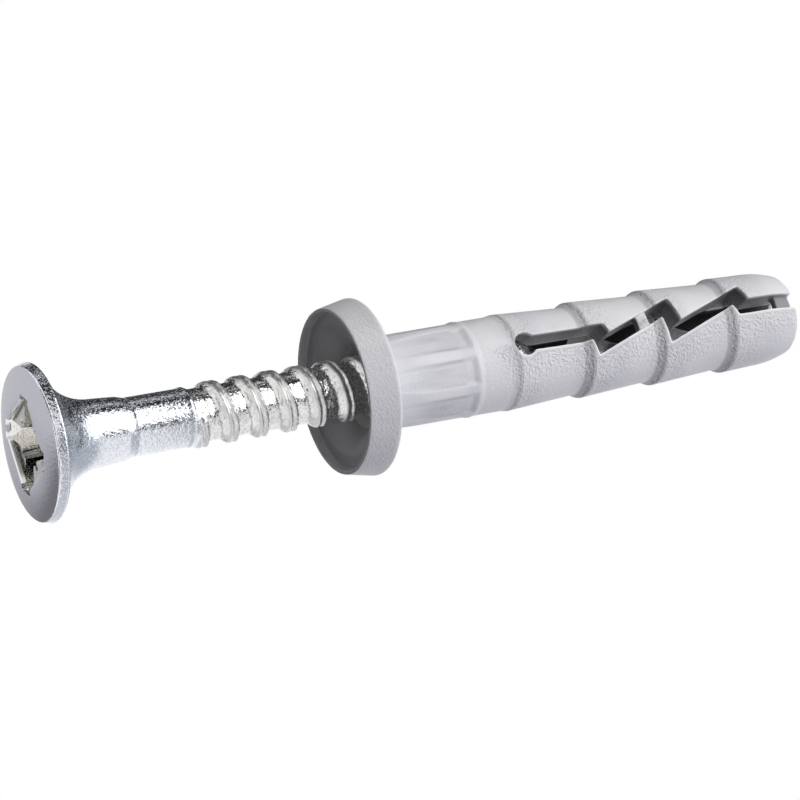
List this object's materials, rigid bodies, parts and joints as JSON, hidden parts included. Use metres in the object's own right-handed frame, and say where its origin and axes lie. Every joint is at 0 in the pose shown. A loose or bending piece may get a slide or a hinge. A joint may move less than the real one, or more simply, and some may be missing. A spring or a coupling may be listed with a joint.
{
  "type": "hammer fixing plug",
  "caption": "Moulded grey expansion sleeve with a cupped collar, barbs and zigzag slots, and a zinc-plated countersunk drive screw set part-way into it, ready to be hammered home.",
  "frame": {"origin": "centre of the screw's head, on whose flat middle the plug stands", "axes": "+Z runs along the common axis from the screw's head to the sleeve's tip; the two expansion slots open towards -Y and +Y"},
  "size_m": [0.0108, 0.0108, 0.0514],
  "materials": {
    "sleeve_nylon": "light grey moulded nylon with a fine eroded grain",
    "zinc_steel": "bright blue-white zinc plating on cold-forged steel"
  },
  "bodies": {
    "root": {"plug_sleeve": "sleeve_nylon", "drive_screw": "zinc_steel"}
  },
  "joints": []
}
